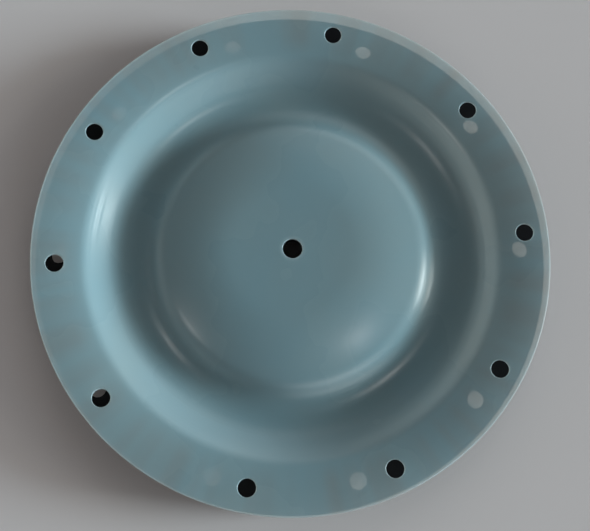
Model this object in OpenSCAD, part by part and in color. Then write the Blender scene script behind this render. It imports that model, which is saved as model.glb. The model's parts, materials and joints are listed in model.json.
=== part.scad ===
// Two-ply diaphragm for an air-operated pump: a thin, milky fluoropolymer overlay that lies on a
// black rubber back-up. Both are turned sections with a bolt flange, one round trough and a crowned
// centre with a flat middle. Millimetres, with +Z up. The origin is under the centre, on the surface
// that the diaphragm lies on, and +X runs through the middle of a wide gap in the overlay's bolt holes.

/* [Flange] */
// Outside diameter of both plies
outer_d = 300; // [270:1:330]
// Radial width of the overlay's flange, which rises gently to its rim
flange_w = 27; // [24:0.5:30]
// Slope of the overlay's flange where it meets the shoulder
flange_slope = 15; // [12:0.5:18]
// Slope of the overlay's flange near its rim
rim_slope = 3.5; // [1:0.5:6]
// Width of the level band along the rim
rim_land = 1; // [0.9:0.1:3]
// Small bevel on the edges of the rim
rim_bevel = 0.4; // [0.1:0.1:0.8]

/* [Holes] */
// Distance from the rim to the centres of the bolt holes
bolt_inset = 13.5; // [11:0.5:16]
// Diameter of a bolt hole
bolt_hole_d = 10; // [6:0.5:13]
// Bolt holes in each half of the flange
holes_per_half = 5; // [3:1:7]
// Angle across each of the two wide gaps between the halves
wide_gap_angle = 40.4; // [20:0.1:60]
// Diameter of the hole at the centre of both plies
centre_hole_d = 11.5; // [6:0.5:20]

/* [Overlay] */
// Thickness of the overlay
overlay_t = 2; // [1:0.1:3]
// Radius of the bend from the flange into the trough
shoulder_r = 11; // [6:0.5:15]
// Slope of the trough's outer wall
outer_slope = 40; // [36:0.5:44]
// Radial width of the trough's outer wall between its bends
outer_wall_w = 10; // [8.5:0.5:12]
// Radius of the bottom of the trough
trough_r = 20.5; // [18:0.5:23]
// Slope at which the trough meets the edge of the centre
inner_slope = 44; // [40:0.5:48]
// Radius of the edge of the centre
centre_edge_r = 18; // [15:0.5:21]
// Slope at which the edge of the centre meets its crown
crown_slope = 16.2; // [14:0.2:18]
// Radius of the crown around the flat middle
crown_r = 140; // [120:1:155]

/* [Back-up] */
// Thickness of the back-up
backup_t = 5; // [4:0.5:6]
// Drop from the overlay's rim to the back-up's level flange
backup_flange_drop = 11.6; // [10:0.1:12.8]
// Inside radius of the bend under the back-up's flange
backup_bend_r = 3; // [1:0.5:4]
// Clearance between the plies in the trough
nest_gap = 0.3; // [0.1:0.1:0.6]
// Angle by which the back-up lies turned from the overlay, clockwise from above
backup_turn = 78.4; // [0:0.1:180]

/* [Hidden] */
$fn = 180;
overlay_colour = "#7b98a1";
backup_colour = "#17181a";
// Steps along each bend
bend_steps = 16;
outer_x = outer_d / 2;
narrow_gap_angle = (180 - wide_gap_angle) / (holes_per_half - 1);

// The overlay's upper face is a chain of bends, each running smoothly into the next. The bottom of
// the trough sets the chain's height and the rim sets its place.
flange_r = (flange_w - rim_land) / (sin(flange_slope) - sin(rim_slope));
shoulder_w = shoulder_r * (sin(outer_slope) - sin(flange_slope));
trough_x = outer_x - flange_w - shoulder_w - outer_wall_w - trough_r * sin(outer_slope);
trough_c = [trough_x, backup_t + nest_gap + overlay_t + trough_r];
shoulder_c = trough_c - polar(trough_r + shoulder_r, 90 + outer_slope)
    + outer_wall_w * [1, tan(outer_slope)];
flange_c = shoulder_c - polar(flange_r - shoulder_r, 90 + flange_slope);
edge_c = trough_c - polar(trough_r + centre_edge_r, 90 - inner_slope);
crown_c = edge_c - polar(crown_r - centre_edge_r, 90 - crown_slope);
flange_z = flange_c[1] + flange_r * cos(rim_slope);
centre_z = crown_c[1] + crown_r;
cut_h = 2 * flange_z;

// The back-up follows the underside of the overlay at the clearance, and meets it at the flat middle
backup_trough_r = trough_r + overlay_t + nest_gap;
backup_shoulder_r = backup_bend_r + backup_t;
backup_flange_z = flange_z - backup_flange_drop;
backup_wall_foot = trough_c - polar(backup_trough_r + backup_shoulder_r, 90 + outer_slope);
backup_wall_rise = backup_flange_z - backup_shoulder_r - backup_wall_foot[1];
backup_shoulder_c = backup_wall_foot + backup_wall_rise * [1 / tan(outer_slope), 1];
backup_inset = [nest_gap / sin(inner_slope), 0];

// Vector of length r in the direction of an angle
function polar(r, angle) = r * [cos(angle), sin(angle)];

// A bend of the upper face: its centre, radius, first and last angle, and how its radius changes
// with depth below that face
function crest(centre, r, from, to) = [centre, r, from, to, -1];
function hollow(centre, r, from, to) = [centre, r, from, to, 1];

// Points along a bend at a depth below the upper face
function bend_points(bend, depth) = [
    for (i = [0 : bend_steps])
        bend[0] + polar(bend[1] + bend[4] * depth, bend[2] + (bend[3] - bend[2]) * i / bend_steps)
];

// Section of a ply of thickness t, from the rim at rim_z along its bends to the middle at middle_z
module ply_section(t, rim_z, middle_z, bends) {
    upper_face = [for (bend = bends) each bend_points(bend, 0)];
    lower_face = [for (bend = bends) each bend_points(bend, t)];
    polygon(concat(
        [[outer_x, rim_z - rim_bevel], [outer_x - rim_bevel, rim_z]],
        upper_face,
        [[0, middle_z], [0, middle_z - t]],
        [for (i = [len(lower_face) - 1 : -1 : 0]) lower_face[i]],
        [[outer_x - rim_bevel, rim_z - t], [outer_x, rim_z - t + rim_bevel]]
    ));
}

// Centre hole and the bolt holes, in two halves with a wide gap between them
module holes() {
    cylinder(d = centre_hole_d, h = cut_h);
    for (half = [0, 180], i = [0 : holes_per_half - 1])
        rotate(half + wide_gap_angle / 2 + i * narrow_gap_angle)
            translate([outer_x - bolt_inset, 0, 0])
                cylinder(d = bolt_hole_d, h = cut_h);
}

// Thin upper ply that faces the pumped liquid
module overlay_ply() {
    color(overlay_colour)
        difference() {
            rotate_extrude()
                ply_section(overlay_t, flange_z, centre_z, [
                    crest(flange_c, flange_r, 90 + rim_slope, 90 + flange_slope),
                    crest(shoulder_c, shoulder_r, 90 + flange_slope, 90 + outer_slope),
                    hollow(trough_c, trough_r, outer_slope - 90, -90 - inner_slope),
                    crest(edge_c, centre_edge_r, 90 - inner_slope, 90 - crown_slope),
                    crest(crown_c, crown_r, 90 - crown_slope, 90)
                ]);
            holes();
        }
}

// Thicker lower ply of rubber, nested under the overlay's trough and centre
module backup_ply() {
    color(backup_colour)
        rotate(-backup_turn)
            difference() {
                rotate_extrude()
                    ply_section(backup_t, backup_flange_z, centre_z - overlay_t, [
                        crest(backup_shoulder_c, backup_shoulder_r, 90, 90 + outer_slope),
                        hollow(trough_c, backup_trough_r, outer_slope - 90, -90 - inner_slope),
                        crest(edge_c - backup_inset, centre_edge_r - overlay_t,
                            90 - inner_slope, 90 - crown_slope),
                        crest(crown_c - backup_inset, crown_r - overlay_t, 90 - crown_slope, 90)
                    ]);
                holes();
            }
}

backup_ply();
overlay_ply();
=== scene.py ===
# %% [markdown]
# # A two-ply pump diaphragm
# The part is a round, moulded sheet of milky fluoropolymer, the overlay, which lies on a thicker ply of
# black rubber. Nothing on it moves. Its look comes from three things: a section of smooth bends, a sheet
# that is half see-through, and a low, soft light that rakes across the bends. We load the imported solids
# first. They are the frame that every finished piece has to fit.

# %% Load the frame
import json
import math

import bpy
from mathutils import Matrix, Vector


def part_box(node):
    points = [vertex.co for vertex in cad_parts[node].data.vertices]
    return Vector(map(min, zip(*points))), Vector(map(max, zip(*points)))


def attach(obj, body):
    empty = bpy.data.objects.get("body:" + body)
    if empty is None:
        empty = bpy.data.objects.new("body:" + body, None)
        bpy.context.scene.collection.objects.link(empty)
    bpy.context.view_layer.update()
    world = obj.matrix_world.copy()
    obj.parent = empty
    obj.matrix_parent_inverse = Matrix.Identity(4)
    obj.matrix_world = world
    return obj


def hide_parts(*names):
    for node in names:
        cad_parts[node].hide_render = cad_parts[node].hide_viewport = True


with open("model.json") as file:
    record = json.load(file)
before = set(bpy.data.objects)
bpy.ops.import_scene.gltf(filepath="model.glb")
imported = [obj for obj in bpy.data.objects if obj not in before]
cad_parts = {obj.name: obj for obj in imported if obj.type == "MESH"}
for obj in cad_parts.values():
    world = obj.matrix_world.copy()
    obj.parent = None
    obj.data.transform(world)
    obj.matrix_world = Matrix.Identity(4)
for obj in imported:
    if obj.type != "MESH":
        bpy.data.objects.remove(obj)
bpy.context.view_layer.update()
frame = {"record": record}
scene = bpy.context.scene
scene.view_settings.view_transform = "Standard"
mounts = {mount["name"]: mount for mount in frame["record"]["mounts"]}
MM = 0.001

# %% [markdown]
# ## Sizes that the frame gives
# The outside radius, the height of the rim, the flat middle and the holes are read from the frame, so that
# the finished plies stay where the solids are. The ten bolt holes stand in two halves with a wide gap
# between them. The mounts state them as rectangles, and from these we get back the circle and the gap.

# %% Radii, heights and the bolt pattern
HOLES_PER_HALF = 5
outer_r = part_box("overlay_ply")[1].x
rim_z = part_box("overlay_ply")[1].z
centre_z = mounts["liquid_side_centre"]["pos_m"][2]
centre_hole_r = mounts["centre_hole"]["dims"]["r_mm"] * MM
both_plies_t = mounts["centre_hole"]["dims"]["length_mm"] * MM
near_gap = mounts["bolts_beside_wide_gaps"]["dims"]
bolt_hole_r = near_gap["hole_r_mm"] * MM
bolt_circle_r = math.hypot(near_gap["spacing_x_mm"], near_gap["spacing_y_mm"]) / 2 * MM
wide_gap = 2 * math.atan2(near_gap["spacing_y_mm"], near_gap["spacing_x_mm"])
narrow_gap = (math.pi - wide_gap) / (HOLES_PER_HALF - 1)
print("bolt circle radius", round(bolt_circle_r, 4), "wide gap", round(math.degrees(wide_gap), 1), "degrees")

# %% [markdown]
# ## The section of the plies
# Such a sheet is pressed in a mould, and its section is a chain of bends that run smoothly into each other:
# a flange that rises gently to the rim, a shoulder, a straight wall, the bottom of the trough, the edge of
# the centre, its crown and a flat middle. We could trace points from a drawing, but then no bend could be
# changed by itself. Instead each bend is a true arc with a radius and the slopes at its two ends, and
# the centre of each arc follows from its neighbour's. The underside has the same centres.

# %% Helpers for bends


def polar(radius, degrees):
    """Vector of a given length in the direction of an angle, in the plane of the section."""
    angle = math.radians(degrees)
    return radius * Vector((math.cos(angle), math.sin(angle)))


def up_slope(degrees):
    """Vector that runs one unit outwards and up at a slope."""
    return Vector((1, math.tan(math.radians(degrees))))


def crest(centre, radius, first, last):
    """A bend that bulges upwards: its underside has a smaller radius."""
    return centre, radius, first, last, -1


def hollow(centre, radius, first, last):
    """A bend that sags: its underside has a larger radius."""
    return centre, radius, first, last, 1


# %% The overlay's bends
OVERLAY_T = 2 * MM
RIM_LAND = 1 * MM
RIM_SLOPE = 3.5
FLANGE_W = 27 * MM
FLANGE_SLOPE = 15
SHOULDER_R = 11 * MM
OUTER_SLOPE = 40
OUTER_WALL_W = 10 * MM
TROUGH_R = 20.5 * MM
INNER_SLOPE = 44
CENTRE_EDGE_R = 18 * MM
CROWN_SLOPE = 16.2
CROWN_R = 140 * MM
flange_r = (FLANGE_W - RIM_LAND) / (polar(1, FLANGE_SLOPE).y - polar(1, RIM_SLOPE).y)
flange_c = Vector((outer_r - RIM_LAND, rim_z)) - polar(flange_r, 90 + RIM_SLOPE)
shoulder_c = flange_c + polar(flange_r - SHOULDER_R, 90 + FLANGE_SLOPE)
wall_foot_c = shoulder_c - OUTER_WALL_W * up_slope(OUTER_SLOPE)
trough_c = wall_foot_c + polar(SHOULDER_R + TROUGH_R, 90 + OUTER_SLOPE)
edge_c = trough_c - polar(TROUGH_R + CENTRE_EDGE_R, 90 - INNER_SLOPE)
crown_c = edge_c - polar(CROWN_R - CENTRE_EDGE_R, 90 - CROWN_SLOPE)
overlay_bends = [
    crest(flange_c, flange_r, 90 + RIM_SLOPE, 90 + FLANGE_SLOPE),
    crest(shoulder_c, SHOULDER_R, 90 + FLANGE_SLOPE, 90 + OUTER_SLOPE),
    hollow(trough_c, TROUGH_R, OUTER_SLOPE - 90, -90 - INNER_SLOPE),
    crest(edge_c, CENTRE_EDGE_R, 90 - INNER_SLOPE, 90 - CROWN_SLOPE),
    crest(crown_c, CROWN_R, 90 - CROWN_SLOPE, 90),
]
print("middle of the overlay off the frame by", round((crown_c.y + CROWN_R - centre_z) / MM, 3), "mm")

# %% [markdown]
# The back-up nests under the overlay, so its trough and its centre come from the same bends, less the
# overlay's thickness and a small clearance. Two faces in exactly the same place would fight for each ray of
# light, so the flat middles get a gap too, thinner than a hair. The back-up's flange is level and lies well
# below the overlay's rim, which is why the rim looks paler than the rest.

# %% The back-up's bends
BACKUP_T = both_plies_t - OVERLAY_T
BACKUP_DROP = 11.6 * MM
BACKUP_BEND_R = 3 * MM
NEST_GAP = 0.3 * MM
AIR_GAP = 0.08 * MM
backup_rim_z = rim_z - BACKUP_DROP
backup_trough_r = TROUGH_R + OVERLAY_T + NEST_GAP
backup_shoulder_r = BACKUP_BEND_R + BACKUP_T
backup_foot_c = trough_c - polar(backup_trough_r + backup_shoulder_r, 90 + OUTER_SLOPE)
backup_rise = backup_rim_z - backup_shoulder_r - backup_foot_c.y
backup_shoulder_c = backup_foot_c + backup_rise / up_slope(OUTER_SLOPE).y * up_slope(OUTER_SLOPE)
backup_inset = Vector((NEST_GAP / polar(1, INNER_SLOPE).y, AIR_GAP))
backup_bends = [
    crest(backup_shoulder_c, backup_shoulder_r, 90, 90 + OUTER_SLOPE),
    hollow(trough_c, backup_trough_r, OUTER_SLOPE - 90, -90 - INNER_SLOPE),
    crest(edge_c - backup_inset, CENTRE_EDGE_R - OVERLAY_T, 90 - INNER_SLOPE, 90 - CROWN_SLOPE),
    crest(crown_c - backup_inset, CROWN_R - OVERLAY_T, 90 - CROWN_SLOPE, 90),
]
print("back-up flange at", round(backup_rim_z / MM, 2), "mm")

# %% [markdown]
# ## Drawing the section
# The section is a closed line: in from the rim along the upper face, down the wall of the centre hole, and
# back out along the underside. Its four corners are rounded, because a cut edge is never quite sharp and
# a thin line of light shows there. Every point also carries a number, cut_edge, which says how much paler
# the finish is there: nothing on the faces, a little on the rounded corners, and 1 on the lips of the bolt
# holes, which come later.

# %% Points along a line of bends
SECTION_STEP = 1.8 * MM
FEWEST_BEND_STEPS = 3


def arc_points(centre, radius, first, last, steps):
    return [centre + polar(radius, first + (last - first) * i / steps) for i in range(steps + 1)]


def bend_points(bend, depth):
    """Points along a bend, at a depth below the upper face."""
    centre, radius, first, last, side = bend
    arc_length = radius * math.radians(abs(last - first))
    steps = max(FEWEST_BEND_STEPS, math.ceil(arc_length / SECTION_STEP))
    return arc_points(centre, radius + side * depth, first, last, steps)


def spread(points):
    """Add points along the straight stretches, so that no step is much longer than the rest."""
    filled = []
    for here, there in zip(points, points[1:]):
        steps = max(1, round((there - here).length / SECTION_STEP))
        filled += [here.lerp(there, i / steps) for i in range(steps)]
    return filled + [points[-1]]


print("steps on the crown:", len(bend_points(overlay_bends[-1], 0)) - 1)

# %% The closed section of a ply
EDGE_ROUND = 0.5 * MM
CORNER_STEPS = 6
CORNER_MARK = 0.2
SAME_POINT = 0.01 * MM


def corner(inner_x, inner_z, first):
    """Points of a rounded corner: a quarter turn about a point, from its first angle."""
    return arc_points(Vector((inner_x, inner_z)), EDGE_ROUND, first, first + 90, CORNER_STEPS)


def ply_section(thickness, top_z, middle_z, bends):
    """Points of a ply's closed section, each with its cut_edge number."""
    upper = [point for bend in bends for point in bend_points(bend, 0)]
    lower = [point for bend in bends for point in bend_points(bend, thickness)]
    rim_x = outer_r - EDGE_ROUND
    hole_x = centre_hole_r + EDGE_ROUND
    rim_top = corner(rim_x, top_z - EDGE_ROUND, 0)
    hole_top = corner(hole_x, middle_z - EDGE_ROUND, 90)
    hole_foot = corner(hole_x, middle_z - thickness + EDGE_ROUND, 180)
    rim_foot = corner(rim_x, top_z - thickness + EDGE_ROUND, 270)
    upper = spread([rim_top[-1], *upper, hole_top[0]])[1:-1]
    lower = spread([hole_foot[-1], *reversed(lower), rim_foot[0]])[1:-1]
    stretches = (
        (rim_top, CORNER_MARK),
        (upper, 0),
        (hole_top, CORNER_MARK),
        (hole_foot, CORNER_MARK),
        (lower, 0),
        (rim_foot, CORNER_MARK),
    )
    section = []
    for points, cut_edge in stretches:
        for point in points:
            if not section or (point - section[-1][0]).length > SAME_POINT:
                section.append((point, cut_edge))
    return section


overlay_section = ply_section(OVERLAY_T, rim_z, centre_z, overlay_bends)
backup_section = ply_section(BACKUP_T, backup_rim_z, centre_z - OVERLAY_T - AIR_GAP, backup_bends)
print("points in the sections:", len(overlay_section), len(backup_section))

# %% [markdown]
# ## A cutter for the bolt holes
# A punched hole has rounded lips. We make one cutter with that form: straight in the middle, and flared at
# both faces of the ply by most of a quarter round. It runs a little past each face, so that the cut is
# clean. It is turned from its outline in plain mesh code, and all its points carry a cut_edge of 1.

# %% Outline of the cutter
CUTTER_REACH = 2 * MM
LIP_ROUND = 0.8 * MM
LIP_END = 70
LIP_STEPS = 6


def cutter_outline(thickness):
    """Half the outline of a hole's cutter, from below the ply to above it, about the ply's upper face."""
    lip_c = Vector((bolt_hole_r + LIP_ROUND, -LIP_ROUND))
    top_lip = arc_points(lip_c, LIP_ROUND, 180, 180 - LIP_END, LIP_STEPS)
    lip_end = top_lip[-1] + polar(LIP_ROUND, 90 - LIP_END)
    top = [*top_lip, lip_end, lip_end + Vector((0, CUTTER_REACH))]
    foot = [Vector((point.x, -thickness - point.y)) for point in reversed(top)]
    return [*foot, *top]


print("points in the cutter's outline:", len(cutter_outline(OVERLAY_T)))

# %% Turn the cutter, and make a mesh of a section
CUTTER_SIDES = 64
LIP_MARK = 1


def mark_cut_edges(mesh, numbers):
    marks = mesh.attributes.new("cut_edge", "FLOAT", "POINT")
    for mark, number in zip(marks.data, numbers):
        mark.value = number


def cutter_object(name, thickness):
    """A closed body turned from the cutter's outline."""
    outline = cutter_outline(thickness)
    rows = len(outline)
    points = []
    faces = []
    for i in range(CUTTER_SIDES):
        angle = 2 * math.pi * i / CUTTER_SIDES
        points += [(p.x * math.cos(angle), p.x * math.sin(angle), p.y) for p in outline]
        here = i * rows
        there = (i + 1) % CUTTER_SIDES * rows
        faces += [(here + k, there + k, there + k + 1, here + k + 1) for k in range(rows - 1)]
    faces.append([i * rows for i in reversed(range(CUTTER_SIDES))])
    faces.append([i * rows + rows - 1 for i in range(CUTTER_SIDES)])
    mesh = bpy.data.meshes.new(name)
    mesh.from_pydata(points, [], faces)
    mark_cut_edges(mesh, [LIP_MARK] * len(points))
    return bpy.data.objects.new(name, mesh)


def line_mesh(name, section):
    """A closed line in the plane of a sweep's profile, where x runs outwards and y runs down."""
    mesh = bpy.data.meshes.new(name)
    points = [(point.x, -point.y, 0) for point, _ in section]
    mesh.from_pydata(points, [(i, (i + 1) % len(points)) for i in range(len(points))], [])
    mark_cut_edges(mesh, [cut_edge for _, cut_edge in section])
    return mesh


print("sides of a cutter:", CUTTER_SIDES)

# %% [markdown]
# ## One tree for both plies
# Both plies follow one rule: a section is swept round the axis, and the same cutter takes out a hole at each
# place of the bolt pattern. That is what Geometry Nodes are good at. The tree has named inputs for the
# sizes, so the back-up gets the same pattern with another turn. We start with small helpers that the tree
# and the finishes share.

# %% Helpers for node trees


def put(tree, kind, sockets=None, **settings):
    """Add a node, set its options, and feed its inputs: an output is linked and a value is set."""
    node = tree.nodes.new(kind)
    for name, value in settings.items():
        setattr(node, name, value)
    for key, value in (sockets or {}).items():
        if isinstance(value, bpy.types.NodeSocket):
            tree.links.new(value, node.inputs[key])
        else:
            node.inputs[key].default_value = value
    return node


def maths(tree, operation, first, second=0.0):
    """Output of a Math node on two numbers or outputs."""
    return put(tree, "ShaderNodeMath", {0: first, 1: second}, operation=operation).outputs[0]


def noise(tree, place, scale, detail=3.0):
    return put(tree, "ShaderNodeTexNoise", {"Vector": place, "Scale": scale, "Detail": detail}).outputs[0]


def about_axis(tree, place):
    """Distance of a place from the part's axis, and the unit vector that points there from the axis."""
    flat = put(tree, "ShaderNodeVectorMath", {0: place, 1: (1, 1, 0)}, operation="MULTIPLY").outputs[0]
    radius = put(tree, "ShaderNodeVectorMath", {0: flat}, operation="LENGTH").outputs["Value"]
    heading = put(tree, "ShaderNodeVectorMath", {0: flat}, operation="NORMALIZE").outputs[0]
    return radius, heading


# %% Sweep the section round the axis
TURNING_STEPS = 288
SWEEP_R = 0.1


def swept_section(tree, given):
    ring = put(
        tree, "GeometryNodeCurvePrimitiveCircle",
        {"Resolution": given["Turning Steps"], "Radius": given["Sweep Radius"]},
    )
    upright = put(tree, "GeometryNodeSetCurveNormal", {"Curve": ring.outputs["Curve"]}, mode="Z_UP")
    profile = put(tree, "GeometryNodeMeshToCurve", {"Mesh": given["Geometry"]})
    swept = put(
        tree, "GeometryNodeCurveToMesh",
        {"Curve": upright.outputs["Curve"], "Profile Curve": profile.outputs["Curve"]},
    )
    return swept.outputs["Mesh"]


print("one step of the sweep is", 360 / TURNING_STEPS, "degrees")

# %% Stand a cutter at each place of the bolt pattern


def bolt_cutters(tree, given):
    """Cutters on the bolt circle, turned outwards and tilted with the flange."""
    index = put(tree, "GeometryNodeInputIndex").outputs[0]
    half = maths(tree, "FLOOR", maths(tree, "DIVIDE", index, given["Holes per Half"]))
    place = maths(tree, "MODULO", index, given["Holes per Half"])
    half_angle = maths(tree, "MULTIPLY", half, math.pi)
    gap_angle = maths(tree, "MULTIPLY", given["Wide Gap"], 0.5)
    place_angle = maths(tree, "MULTIPLY", place, given["Narrow Gap"])
    start_angle = maths(tree, "ADD", maths(tree, "ADD", half_angle, gap_angle), given["Turn"])
    angle = maths(tree, "ADD", start_angle, place_angle)
    spot = put(
        tree, "ShaderNodeCombineXYZ",
        {
            "X": maths(tree, "MULTIPLY", maths(tree, "COSINE", angle), given["Bolt Circle"]),
            "Y": maths(tree, "MULTIPLY", maths(tree, "SINE", angle), given["Bolt Circle"]),
            "Z": given["Flange Height"],
        },
    )
    pattern = put(
        tree, "GeometryNodePoints",
        {"Count": maths(tree, "MULTIPLY", given["Holes per Half"], 2), "Position": spot.outputs[0]},
    )
    stance = put(
        tree, "ShaderNodeCombineXYZ",
        {"Y": maths(tree, "MULTIPLY", given["Flange Tilt"], -1), "Z": angle},
    )
    cutter = put(tree, "GeometryNodeObjectInfo", {"Object": given["Cutter"]})
    cutters = put(
        tree, "GeometryNodeInstanceOnPoints",
        {
            "Points": pattern.outputs[0],
            "Instance": cutter.outputs["Geometry"],
            "Rotation": put(tree, "FunctionNodeEulerToRotation", {0: stance.outputs[0]}).outputs[0],
        },
    )
    return put(tree, "GeometryNodeRealizeInstances", {"Geometry": cutters.outputs[0]}).outputs[0]


print("holes in each ply:", 2 * HOLES_PER_HALF)

# %% [markdown]
# A free sheet is never quite flat, so the tree lets the flange sag by a fraction of a millimetre. A slow
# noise round the rim gives long, uneven waves, and a quicker one adds short pleats. Both read only the
# heading from the axis, so they run straight out to the rim, and they fade to nothing at the shoulder.

# %% Let the flange sag
RIPPLE_SCALE = 3.2
PLEAT_SCALE = 12
PLEAT_SHARE = 1.3


def sagged_flange(tree, given, ply):
    radius, heading = about_axis(tree, put(tree, "GeometryNodeInputPosition").outputs[0])
    waves = noise(tree, heading, RIPPLE_SCALE, 2.0)
    pleats = maths(tree, "MULTIPLY", noise(tree, heading, PLEAT_SCALE, 1.0), PLEAT_SHARE)
    share = put(
        tree, "ShaderNodeMapRange",
        {"Value": radius, "From Min": given["Ripple Start"], "From Max": given["Ripple End"]},
        interpolation_type="SMOOTHSTEP",
    ).outputs[0]
    ripple = maths(tree, "MULTIPLY", maths(tree, "ADD", waves, pleats), share)
    sag = maths(tree, "MULTIPLY", ripple, given["Ripple Depth"])
    drop = put(tree, "ShaderNodeCombineXYZ", {"Z": maths(tree, "MULTIPLY", sag, -1)}).outputs[0]
    return put(tree, "GeometryNodeSetPosition", {"Geometry": ply, "Offset": drop}).outputs[0]


print("pleats round the rim: about", round(math.tau * PLEAT_SCALE))

# %% Put the tree together
TREE_INPUTS = (
    ("Cutter", "NodeSocketObject"),
    ("Turning Steps", "NodeSocketInt"),
    ("Sweep Radius", "NodeSocketFloat"),
    ("Bolt Circle", "NodeSocketFloat"),
    ("Flange Height", "NodeSocketFloat"),
    ("Flange Tilt", "NodeSocketFloat"),
    ("Holes per Half", "NodeSocketInt"),
    ("Wide Gap", "NodeSocketFloat"),
    ("Narrow Gap", "NodeSocketFloat"),
    ("Turn", "NodeSocketFloat"),
    ("Ripple Depth", "NodeSocketFloat"),
    ("Ripple Start", "NodeSocketFloat"),
    ("Ripple End", "NodeSocketFloat"),
    ("Finish", "NodeSocketMaterial"),
)


def drilled_ply_tree():
    tree = bpy.data.node_groups.new("turned_and_drilled_ply", "GeometryNodeTree")
    face = tree.interface
    face.new_socket("Geometry", in_out="INPUT", socket_type="NodeSocketGeometry")
    for name, kind in TREE_INPUTS:
        face.new_socket(name, in_out="INPUT", socket_type=kind)
    face.new_socket("Geometry", in_out="OUTPUT", socket_type="NodeSocketGeometry")
    given = tree.nodes.new("NodeGroupInput").outputs
    drilled = put(
        tree, "GeometryNodeMeshBoolean",
        {"Mesh 1": swept_section(tree, given), "Mesh 2": bolt_cutters(tree, given)},
        operation="DIFFERENCE", solver="EXACT",
    )
    sagged = sagged_flange(tree, given, drilled.outputs["Mesh"])

    # Shade it smooth, apart from the line where a lip leaves the flange, and give it its finish
    smooth = put(tree, "GeometryNodeSetShadeSmooth", {0: sagged, "Shade Smooth": True}, domain="FACE")
    lipped = put(
        tree, "GeometryNodeSetShadeSmooth",
        {0: smooth.outputs[0], "Selection": drilled.outputs["Intersecting Edges"], "Shade Smooth": False},
        domain="EDGE",
    )
    real = put(tree, "GeometryNodeRealizeInstances", {"Geometry": lipped.outputs[0]})
    done = put(tree, "GeometryNodeSetMaterial", {"Geometry": real.outputs[0], "Material": given["Finish"]})
    put(tree, "NodeGroupOutput", {"Geometry": done.outputs[0]})
    return tree


ply_tree = drilled_ply_tree()
print("tree with", len(ply_tree.nodes), "nodes")

# %% [markdown]
# ## The milky sheet
# The overlay is a fluoropolymer, about 2 mm thick. It scatters blue light back more than red, and lets a
# warmer share of the light through. Over the black ply it therefore looks blue-grey, and where nothing
# dark lies behind it, at the rim and over the holes of the ply below, it looks paler and more neutral. A
# painted blue would miss that. So the finish mixes a satin plastic with a Transparent shader of a
# faintly warm colour, and the plies do the rest. Each ray crosses two faces of the sheet.

# %% Helpers for finishes


def new_finish(name):
    material = bpy.data.materials.new(name)
    material.use_nodes = True
    tree = material.node_tree
    tree.nodes.clear()
    return material, tree


def object_place(tree):
    return put(tree, "ShaderNodeTexCoord").outputs["Object"]


def ranged(tree, value, low, high, from_low=0.0, from_high=1.0):
    """Bring a number from one range into another."""
    return put(
        tree, "ShaderNodeMapRange",
        {"Value": value, "From Min": from_low, "From Max": from_high, "To Min": low, "To Max": high},
    ).outputs[0]


def mixed(tree, share, first, second):
    """Mix of two colours. The Mix node keeps its colour sockets after those for numbers and vectors."""
    return put(tree, "ShaderNodeMix", {0: share, 6: first, 7: second}, data_type="RGBA").outputs[2]


# %% [markdown]
# The sheet's colour isn't even: soft clouds run all over it. The greyer streaks that run out across the
# flange are painted shade, which stands for the shade of the flange's fine waves under the low light. The
# cut edges are the palest places.

# %% Colour of the sheet
MILK_BLUE = (0.425, 0.725, 0.87, 1)
MILK_GREY = (0.465, 0.725, 0.835, 1)
# Painted shade: a greyer colour for the streaks that stand for the shade of the flange's fine waves
PAINTED_STREAK_SHADE = (0.45, 0.64, 0.72, 1)
CUT_PALE = (0.8, 0.9, 0.95, 1)
CLOUDS_SEEN = (0.35, 0.65)
SHADE_STREAK_SCALE = 11
SHADE_STREAKS_SEEN = (0.38, 0.7)
SHADE_STREAKS_BEGIN = (122 * MM, 132 * MM)


def sheet_colour(tree, place, clouds, cut_edge):
    radius, heading = about_axis(tree, place)
    colour = mixed(tree, ranged(tree, clouds, 0, 1, *CLOUDS_SEEN), MILK_BLUE, MILK_GREY)
    # Painted shade: grey streaks running out across the flange, where its fine waves would fall into shade
    shade_streaks = ranged(tree, noise(tree, heading, SHADE_STREAK_SCALE, 1.0), 0, 1, *SHADE_STREAKS_SEEN)
    on_flange = ranged(tree, radius, 0, 1, *SHADE_STREAKS_BEGIN)
    colour = mixed(tree, maths(tree, "MULTIPLY", shade_streaks, on_flange), colour, PAINTED_STREAK_SHADE)
    return mixed(tree, cut_edge, colour, CUT_PALE)


print("streaks begin", round(SHADE_STREAKS_BEGIN[0] / MM), "mm from the axis")

# %% [markdown]
# The mould leaves fine turning marks in the trough. They are rings about the axis, broken in places, and
# far too shallow for the mesh, so they are a bump whose height is a noise along the radius. A fine grain
# lies over all of the sheet.

# %% Relief of the sheet
RING_SCALE = 420
RING_DEPTH = 0.2 * MM
RINGS_BEGIN = (70 * MM, 80 * MM)
RINGS_END = (116 * MM, 124 * MM)
PATCH_SCALE = 22
PATCHES_SEEN = (0.45, 0.7)
GRAIN_SCALE = 900
GRAIN_DEPTH = 0.2 * MM
GRAIN_STRENGTH = 0.12


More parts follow.
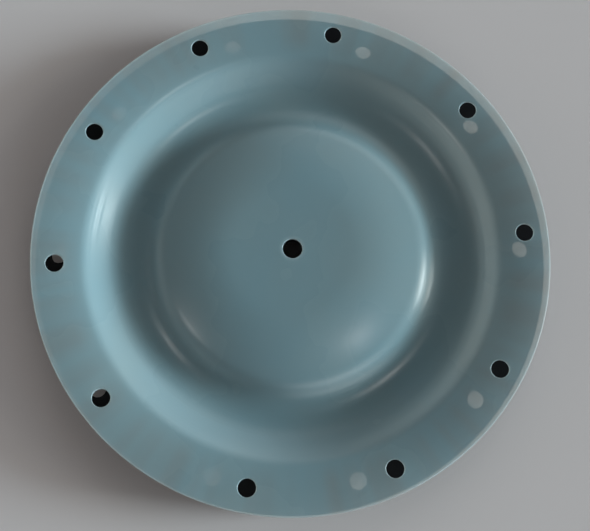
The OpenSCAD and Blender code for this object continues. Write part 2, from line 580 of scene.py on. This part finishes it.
def sheet_relief(tree, place):
    radius, _ = about_axis(tree, place)
    rings = put(
        tree, "ShaderNodeTexNoise",
        {"W": radius, "Scale": RING_SCALE, "Detail": 2.0},
        noise_dimensions="1D",
    ).outputs[0]
    patches = ranged(tree, noise(tree, place, PATCH_SCALE), 0, 1, *PATCHES_SEEN)
    past_centre = ranged(tree, radius, 0, 1, *RINGS_BEGIN)
    before_flange = ranged(tree, radius, 1, 0, *RINGS_END)
    in_trough = maths(tree, "MULTIPLY", past_centre, before_flange)
    marks = maths(tree, "MULTIPLY", rings, maths(tree, "MULTIPLY", patches, in_trough))
    ringed = put(tree, "ShaderNodeBump", {"Strength": 1.0, "Distance": RING_DEPTH, "Height": marks})
    grained = put(
        tree, "ShaderNodeBump",
        {
            "Strength": GRAIN_STRENGTH,
            "Distance": GRAIN_DEPTH,
            "Height": noise(tree, place, GRAIN_SCALE, 2.0),
            "Normal": ringed.outputs[0],
        },
    )
    return grained.outputs[0]


print("rings from", round(RINGS_BEGIN[0] / MM), "to", round(RINGS_END[1] / MM), "mm")

# %% Finish of the overlay
WARM_CLEAR = (1.0, 0.93, 0.87, 1)
WARM_GLOW = (0.85, 0.9, 0.9, 1)
SHEET_OPACITY = 0.43
CUT_OPACITY = 0.75
GLOW_SHARE = 0.27
CLOUD_SCALE = 14
SATIN = (0.24, 0.31)
SHEET_IOR = 1.54


def milky_sheet():
    material, tree = new_finish("milky_sheet")
    place = object_place(tree)
    cut_edge = put(tree, "ShaderNodeAttribute", attribute_name="cut_edge").outputs["Fac"]
    clouds = noise(tree, place, CLOUD_SCALE)
    plastic = put(
        tree, "ShaderNodeBsdfPrincipled",
        {
            "Base Color": sheet_colour(tree, place, clouds, cut_edge),
            "Roughness": ranged(tree, clouds, *SATIN),
            "IOR": SHEET_IOR,
            "Normal": sheet_relief(tree, place),
        },
    )
    glow = put(tree, "ShaderNodeBsdfTranslucent", {"Color": WARM_GLOW})
    solid = put(tree, "ShaderNodeMixShader", {0: GLOW_SHARE, 1: plastic.outputs[0], 2: glow.outputs[0]})
    clear = put(tree, "ShaderNodeBsdfTransparent", {"Color": WARM_CLEAR})
    opacity = ranged(tree, cut_edge, SHEET_OPACITY, CUT_OPACITY)
    sheet = put(tree, "ShaderNodeMixShader", {0: opacity, 1: clear.outputs[0], 2: solid.outputs[0]})
    put(tree, "ShaderNodeOutputMaterial", {"Surface": sheet.outputs[0]})
    return material


overlay_finish = milky_sheet()
print("finish:", overlay_finish.name)

# %% [markdown]
# ## The black rubber
# The back-up is moulded rubber. It shows through the holes and behind the rim, and from below. Rubber is
# never a pure black: it has a fine skin, and a dry bloom that is a little greyer in soft patches.

# %% Finish of the back-up
RUBBER_BLACK = (0.0035, 0.0045, 0.006, 1)
RUBBER_BLOOM = (0.007, 0.008, 0.0095, 1)
RUBBER_MATT = (0.55, 0.75)
RUBBER_SHEEN = 0.06
BLOOM_SCALE = 30
BLOOM_SEEN = (0.4, 0.7)
SKIN_SCALE = 1400
SKIN_DEPTH = 0.2 * MM
SKIN_STRENGTH = 0.3


def moulded_rubber():
    material, tree = new_finish("moulded_rubber")
    place = object_place(tree)
    bloom = noise(tree, place, BLOOM_SCALE, 4.0)
    skin = noise(tree, place, SKIN_SCALE, 2.0)
    bump = put(tree, "ShaderNodeBump", {"Strength": SKIN_STRENGTH, "Distance": SKIN_DEPTH, "Height": skin})
    rubber = put(
        tree, "ShaderNodeBsdfPrincipled",
        {
            "Base Color": mixed(tree, ranged(tree, bloom, 0, 1, *BLOOM_SEEN), RUBBER_BLACK, RUBBER_BLOOM),
            "Roughness": ranged(tree, bloom, *RUBBER_MATT),
            "Specular IOR Level": RUBBER_SHEEN,
            "Normal": bump.outputs[0],
        },
    )
    put(tree, "ShaderNodeOutputMaterial", {"Surface": rubber.outputs[0]})
    return material


backup_finish = moulded_rubber()
print("finish:", backup_finish.name)

# %% [markdown]
# ## Making the plies
# Each ply starts as its section, a bare line with the tree on it. The inputs are set by their
# identifiers before the object is first evaluated. The result becomes a plain mesh, and only that is kept.

# %% Run the tree on a section
SHARED_SIZES = {
    "Turning Steps": TURNING_STEPS,
    "Sweep Radius": SWEEP_R,
    "Bolt Circle": bolt_circle_r,
    "Holes per Half": HOLES_PER_HALF,
    "Wide Gap": wide_gap,
    "Narrow Gap": narrow_gap,
    "Ripple Start": outer_r - FLANGE_W,
    "Ripple End": outer_r,
}


def make_ply(name, section, thickness, finish, own_sizes):
    """Turn and drill a section, and return the ply as an object with a plain mesh."""
    line = line_mesh(name + "_section", section)
    line.transform(Matrix.Translation((-SWEEP_R, 0, 0)))
    draft = bpy.data.objects.new(name + "_draft", line)
    cutter = cutter_object(name + "_cutter", thickness)
    for part in (draft, cutter):
        scene.collection.objects.link(part)
    modifier = draft.modifiers.new("turn and drill", "NODES")
    modifier.node_group = ply_tree
    sizes = {**SHARED_SIZES, **own_sizes, "Cutter": cutter, "Finish": finish}
    for socket in ply_tree.interface.items_tree:
        if socket.in_out == "INPUT" and socket.name in sizes:
            modifier[socket.identifier] = sizes[socket.name]
    bpy.context.view_layer.update()
    evaluated = draft.evaluated_get(bpy.context.evaluated_depsgraph_get())
    mesh = bpy.data.meshes.new_from_object(evaluated)
    mesh.name = name
    for part in (draft, cutter):
        bpy.data.objects.remove(part)
    ply = bpy.data.objects.new(name, mesh)
    scene.collection.objects.link(ply)
    print(name, "has", len(mesh.polygons), "faces; attributes", [a.name for a in mesh.attributes])
    return ply


# %% Turn and drill the two plies
OVERLAY_RIPPLE = 0.3 * MM
BACKUP_RIPPLE = 0.2 * MM
BACKUP_TURN = math.radians(-78.4)
flange_tilt = math.asin((flange_c.x - bolt_circle_r) / flange_r)
overlay = make_ply(
    "overlay", overlay_section, OVERLAY_T, overlay_finish,
    {
        "Flange Height": flange_c.y + flange_r * math.cos(flange_tilt),
        "Flange Tilt": flange_tilt,
        "Turn": 0.0,
        "Ripple Depth": OVERLAY_RIPPLE,
    },
)
backup = make_ply(
    "backup", backup_section, BACKUP_T, backup_finish,
    {
        "Flange Height": backup_rim_z,
        "Flange Tilt": 0.0,
        "Turn": BACKUP_TURN,
        "Ripple Depth": BACKUP_RIPPLE,
    },
)

# %% Set the plies on the frame
for piece, node, slot in (
    (overlay, "overlay_ply", "milky_fluoropolymer"),
    (backup, "backup_ply", "black_rubber"),
):
    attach(piece, "root")
    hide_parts(node)
    print(piece.name, "replaces", node)

# %% [markdown]
# ## Floor, camera and light
# The part lies on a plain pale floor, and the camera looks down on it from a little to the front. All
# directions of the light are given as they are in the picture, and turned from there into the part's frame.

# %% Floor
FLOOR_GREY = (0.68, 0.655, 0.67, 1)
FLOOR_SIDE = 8
FLOOR_MATT = 0.9
FLOOR_SHEEN = 0.1


def plain_floor():
    material, tree = new_finish("pale_floor")
    surface = put(
        tree, "ShaderNodeBsdfPrincipled",
        {"Base Color": FLOOR_GREY, "Roughness": FLOOR_MATT, "Specular IOR Level": FLOOR_SHEEN},
    )
    put(tree, "ShaderNodeOutputMaterial", {"Surface": surface.outputs[0]})
    mesh = bpy.data.meshes.new("floor")
    side = FLOOR_SIDE / 2
    corners = [(-side, -side, 0), (side, -side, 0), (side, side, 0), (-side, side, 0)]
    mesh.from_pydata(corners, [], [(0, 1, 2, 3)])
    mesh.materials.append(material)
    floor = bpy.data.objects.new("floor", mesh)
    scene.collection.objects.link(floor)
    return floor


plain_floor()
print("floor", FLOOR_SIDE, "m wide")

# %% Camera
PHOTO_TURN = math.radians(-59.345)
CAMERA_LENS = 49.04
CAMERA_PLACE = Vector((-0.0854, -0.7105, 3.0062))
CAMERA_TILT = (0.2087, -0.0313)
photo_to_part = Matrix.Rotation(PHOTO_TURN, 4, "Z")
camera_data = bpy.data.cameras.new("camera")
camera_data.lens = CAMERA_LENS
camera = bpy.data.objects.new("camera", camera_data)
camera.location = photo_to_part @ (CAMERA_PLACE * outer_r) + Vector((0, 0, rim_z))
camera.rotation_euler = (*CAMERA_TILT, PHOTO_TURN)
scene.collection.objects.link(camera)
scene.camera = camera
print("camera at", [round(c, 3) for c in camera.location])

# %% [markdown]
# A low, soft light from the right rakes over the bends, as a window does, and the walls of the room send a
# little of it back from the other sides. Lamps that stand close would leave bright pools on the floor. So
# each of these lights is a sun with a broad disc: it lights the floor evenly, and its shadows are soft.

# %% Light from the window and the walls
DAYLIGHT = (0.87, 0.985, 1.0)
WHITE = (1, 1, 1)


def picture_direction(azimuth, elevation):
    """Direction in the part's frame, from an azimuth in the picture and an elevation."""
    a = math.radians(azimuth)
    e = math.radians(elevation)
    return photo_to_part @ Vector((math.cos(a) * math.cos(e), math.sin(a) * math.cos(e), math.sin(e)))


def add_lamp(name, data, towards):
    lamp = bpy.data.objects.new(name, data)
    lamp.rotation_euler = towards.to_track_quat("Z", "Y").to_euler()
    lamp.visible_camera = False
    scene.collection.objects.link(lamp)
    return lamp


def broad_sun(name, azimuth, elevation, breadth, strength, colour=WHITE):
    """Even light from one side, as soft as a disc of that breadth in degrees makes it."""
    data = bpy.data.lights.new(name, "SUN")
    data.angle = math.radians(breadth)
    data.energy = strength
    data.color = colour
    add_lamp(name, data, picture_direction(azimuth, elevation))


broad_sun("window", 0, 11.5, breadth=18, strength=4.6, colour=DAYLIGHT)
broad_sun("upper_window", 0, 36, breadth=24, strength=0.2, colour=DAYLIGHT)
broad_sun("back_wall", 74, 26, breadth=50, strength=0.5)
broad_sun("front_wall", -62, 14, breadth=36, strength=0.7)
broad_sun("left_wall", 180, 14, breadth=36, strength=0.22)
print("suns:", [lamp.name for lamp in bpy.data.lights])

# %% [markdown]
# Bends as smooth as these also show where the room is bright: a narrow sheen follows the edge of the
# centre, and a faint spot of light lies on each side of it. Reflector cards make them. They are soft
# rectangles that diffuse surfaces don't see, so they leave the shading alone.

# %% Reflector cards
AIM = Vector((0, 0, rim_z))


def reflector_card(name, azimuth, elevation, distance, size, watts):
    """A rectangle of light that faces the part and shows only as a sheen."""
    data = bpy.data.lights.new(name, "AREA")
    data.shape = "RECTANGLE"
    data.size, data.size_y = size
    data.energy = watts
    towards = picture_direction(azimuth, elevation)
    card = add_lamp(name, data, towards)
    card.location = AIM + distance * towards
    card.visible_diffuse = False


reflector_card("back_card", 58, 20, 1.2, size=(1.2, 0.5), watts=2.8)
reflector_card("front_card", -62, 20, 1.2, size=(1.2, 0.5), watts=4.5)
reflector_card("right_spot", -32, 64, 1.5, size=(0.12, 0.12), watts=2.6)
reflector_card("left_spot", 203, 50, 1.5, size=(0.12, 0.12), watts=2.6)

# %% [markdown]
# The rest of the room is a dim sky that is brightest along the horizon and dark overhead. Its light is a
# little warmer than the window's, and stronger from the side that faces the window.

# %% World
HORIZON = 0.3
ZENITH = 0.02
ROOM_WARM = (1.0, 0.92, 0.84, 1)
BRIGHT_SIDE = photo_to_part @ Vector((-0.4, 0.2, 0))
world = bpy.data.worlds.new("soft_room")
world.use_nodes = True
sky = world.node_tree
facing = put(sky, "ShaderNodeTexCoord").outputs["Generated"]
height = put(sky, "ShaderNodeSeparateXYZ", {0: facing}).outputs["Z"]
side = put(sky, "ShaderNodeVectorMath", {0: facing, 1: BRIGHT_SIDE}, operation="DOT_PRODUCT")
side_share = maths(sky, "ADD", side.outputs["Value"], 1)
level = maths(sky, "MULTIPLY", ranged(sky, height, HORIZON, ZENITH), side_share)
background = sky.nodes["Background"].inputs
background["Color"].default_value = ROOM_WARM
sky.links.new(level, background["Strength"])
scene.world = world
print("world:", world.name)
